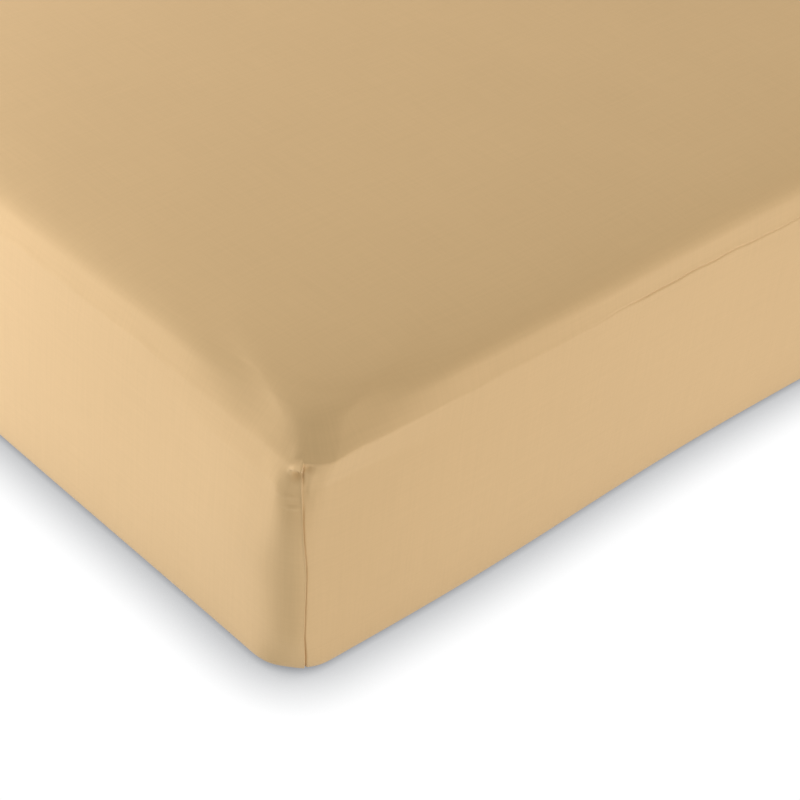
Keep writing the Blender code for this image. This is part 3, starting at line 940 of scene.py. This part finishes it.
class Finish:
    """A material whose nodes are added one by one."""

    def __init__(self, name, roughness, sheen=0.0):
        self.material = bpy.data.materials.new(name)
        self.material.use_nodes = True
        self.tree = self.material.node_tree
        self.shader = self.tree.nodes["Principled BSDF"]
        self.shader.inputs["Roughness"].default_value = roughness
        self.shader.inputs["Metallic"].default_value = 0
        self.shader.inputs["Specular IOR Level"].default_value = CLOTH_SPECULAR
        self.shader.inputs["Sheen Weight"].default_value = sheen
        self.shader.inputs["Sheen Roughness"].default_value = SHEEN_ROUGHNESS

    def node(self, kind, settings, sockets):
        """Adds a node and gives its outputs by name."""
        made = self.tree.nodes.new(kind)
        for name, value in settings.items():
            setattr(made, name, value)
        for key, value in sockets.items():
            self.feed(self.find(made.inputs, key), value)
        return {socket.identifier: Wire(self, socket) for socket in made.outputs}

    def find(self, sockets, key):
        if isinstance(key, int):
            return sockets[key]
        return next(socket for socket in sockets if key in (socket.identifier, socket.name))

    def feed(self, socket, value):
        if isinstance(value, Wire):
            self.tree.links.new(value.socket, socket)
        else:
            socket.default_value = value

    def noise(self, place, scale, detail=2.0):
        """Noise between 0 and 1 on a vector that is stretched by scale, in cells a metre."""
        scaled = self.node(
            "ShaderNodeVectorMath", {"operation": "MULTIPLY"}, {0: place, 1: scale}
        )["Vector"]
        texture = self.node(
            "ShaderNodeTexNoise", {}, {"Vector": scaled, "Scale": 1.0, "Detail": detail}
        )
        return texture["Fac"]

    def mixed(self, share, first, second):
        return self.node(
            "ShaderNodeMix",
            {"data_type": "RGBA"},
            {"Factor_Float": share, "A_Color": (*first, 1), "B_Color": (*second, 1)},
        )["Result_Color"]

    def axes(self, place):
        split = self.node("ShaderNodeSeparateXYZ", {}, {"Vector": place})
        return split["X"], split["Y"], split["Z"]

    def bump(self, height, depth):
        """Relief of this depth where the height goes from 0 to 1."""
        return self.node(
            "ShaderNodeBump", {}, {"Strength": 1.0, "Distance": depth, "Height": height}
        )["Normal"]

    def finish(self, colour, normal):
        self.feed(self.shader.inputs["Base Color"], colour)
        self.feed(self.shader.inputs["Normal"], normal)
        return self.material


def scaled(colour, share):
    return tuple(channel * share for channel in colour)


def base_colour(slot):
    """The colour that the record gives for a material slot."""
    rows = {row["slot"]: row["base_color"] for row in frame["record"]["materials"]}
    return tuple(rows[slot])


def plain_weave(warp, weft):
    """The crowns of a plain weave, between 0 and 1."""
    cycle = math.pi / YARN_PITCH
    return abs((warp * cycle).sine() * (weft * cycle).sine())


def sheet_cotton():
    """Plain woven cotton: fine yarns, some thicker than others, a slight sheen, and painted shade in
    the weave's valleys.
    """
    cotton = Finish("sheet_cotton", roughness=0.88, sheen=0.12)
    place = cotton.node("ShaderNodeAttribute", {"attribute_name": "flat_cloth"}, {})["Vector"]
    warp, weft, _ = cotton.axes(place)
    weave = plain_weave(warp, weft)
    slub_warp = cotton.noise(place, (SLUB_ALONG, SLUB_ACROSS, 1))
    slub_weft = cotton.noise(place, (SLUB_ACROSS, SLUB_ALONG, 1))
    cloud = cotton.noise(place, (COTTON_CLOUD, COTTON_CLOUD, 1), detail=3.0)
    slub = (slub_warp + slub_weft) * 0.5
    # Slubs and the cloud are the cotton's own tone. The weave's share is painted shade, darker in its
    # valleys and lighter on its crowns, and the weave also gives the bump's relief.
    tone_with_weave_shade = slub * 0.55 + cloud * 0.3 + weave * 0.15
    colour = base_colour("sheet_cotton")
    shade = cotton.mixed(tone_with_weave_shade, scaled(colour, 0.9), scaled(colour, 1.1))
    relief = weave * 0.35 + slub * 0.65
    return cotton.finish(shade, cotton.bump(relief, COTTON_RELIEF))


def hem_thread():
    """Spun sewing thread, a little lighter than the cloth."""
    thread = Finish("hem_thread", roughness=0.7, sheen=0.2)
    place = thread.node("ShaderNodeTexCoord", {}, {})["Object"]
    fibres = thread.noise(place, (FIBRE, FIBRE, FIBRE))
    colour = base_colour("sheet_cotton")
    shade = thread.mixed(fibres, scaled(colour, 1.02), scaled(colour, 1.2))
    return thread.finish(shade, thread.bump(fibres, FIBRE_RELIEF))


def mattress_ticking():
    """Off-white ticking in a fine herringbone."""
    ticking = Finish("mattress_ticking", roughness=0.9, sheen=0.05)
    place = ticking.node("ShaderNodeTexCoord", {}, {})["Object"]
    along, across, up = ticking.axes(place)
    zigzag = (across + up).back_and_forth(HERRINGBONE)
    twill = ((along + zigzag) * (2 * math.pi / TWILL_PITCH)).sine() * 0.5 + 0.5
    mottle = ticking.noise(place, (TICKING_MOTTLE, TICKING_MOTTLE, TICKING_MOTTLE), detail=3.0)
    colour = base_colour("mattress_ticking")
    shade = ticking.mixed(twill * 0.7 + mottle * 0.3, scaled(colour, 0.88), scaled(colour, 1.04))
    return ticking.finish(shade, ticking.bump(twill, TWILL_RELIEF))


# ---------------------------------------------------------------------------------------------
# The studio
# ---------------------------------------------------------------------------------------------


def studio_floor():
    """A glowing white floor like a lit sweep, darkened softly by a painted shadow where the object
    stands.
    """
    shape = bmesh.new()
    bmesh.ops.create_grid(shape, x_segments=1, y_segments=1, size=SWEEP_HALF_SIZE)
    white = Finish("white_sweep", roughness=0.9)
    # Painted shadow: ambient occlusion near the object mixes the floor's glow towards a dark tone.
    painted_shadow_openness = white.node(
        "ShaderNodeAmbientOcclusion", {"samples": 12}, {"Distance": PAINTED_SHADOW_REACH}
    )["AO"]
    glow_with_painted_shadow = white.mixed(painted_shadow_openness, PAINTED_SHADOW_TONE, SWEEP_WHITE)
    white.feed(white.shader.inputs["Base Color"], (0, 0, 0, 1))
    white.shader.inputs["Specular IOR Level"].default_value = 0
    white.feed(white.shader.inputs["Emission Color"], glow_with_painted_shadow)
    white.shader.inputs["Emission Strength"].default_value = SWEEP_GLOW
    floor = new_object("white_sweep", shape, white.material)


def soft_light(box):
    """A large soft box that faces a point."""
    light = bpy.data.lights.new(box.name, "AREA")
    light.shape = "RECTANGLE"
    light.size = box.width
    light.size_y = box.height
    light.energy = box.power
    light.color = box.colour
    lamp = bpy.data.objects.new(box.name, light)
    lamp.location = box.place
    facing = Vector(box.aim) - Vector(box.place)
    lamp.rotation_euler = facing.to_track_quat("-Z", "Y").to_euler()
    lamp.visible_camera = False
    bpy.context.scene.collection.objects.link(lamp)


def studio_world():
    world = bpy.data.worlds.new("white_studio")
    world.use_nodes = True
    backdrop = world.node_tree.nodes["Background"]
    backdrop.inputs["Color"].default_value = ROOM_COLOUR
    backdrop.inputs["Strength"].default_value = ROOM_STRENGTH
    bpy.context.scene.world = world


def studio_camera():
    camera = bpy.data.cameras.new("camera")
    camera.lens = CAMERA_LENS
    camera.sensor_width = SENSOR
    camera.clip_start = CAMERA_NEAREST
    obj = bpy.data.objects.new("camera", camera)
    yaw = Matrix.Rotation(-math.radians(CAMERA_YAW), 4, "Z")
    pitch = Matrix.Rotation(math.radians(90 - CAMERA_PITCH), 4, "X")
    roll = Matrix.Rotation(math.radians(CAMERA_ROLL), 4, "Z")
    obj.matrix_world = Matrix.Translation(CAMERA_PLACE) @ yaw @ pitch @ roll
    bpy.context.scene.collection.objects.link(obj)
    bpy.context.scene.camera = obj


def studio():
    bpy.context.scene.view_settings.view_transform = "Standard"
    studio_floor()
    studio_world()
    studio_camera()
    for box in SOFT_BOXES:
        soft_light(box)


def dress_model():
    cloth, stitch_path = cloth_piece(sheet_cotton())
    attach(cloth, "root")
    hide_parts("fitted_sheet")

    stitch_path = stitch_path - np.array((0, 0, STITCH_GROOVE / 2))
    stitches = stitch_piece("hem_stitches", stitch_path, hem_thread())
    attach(stitches, "root")

    mattress = mattress_piece(mattress_ticking())
    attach(mattress, "root")
    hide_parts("mattress")


studio()
dress_model()
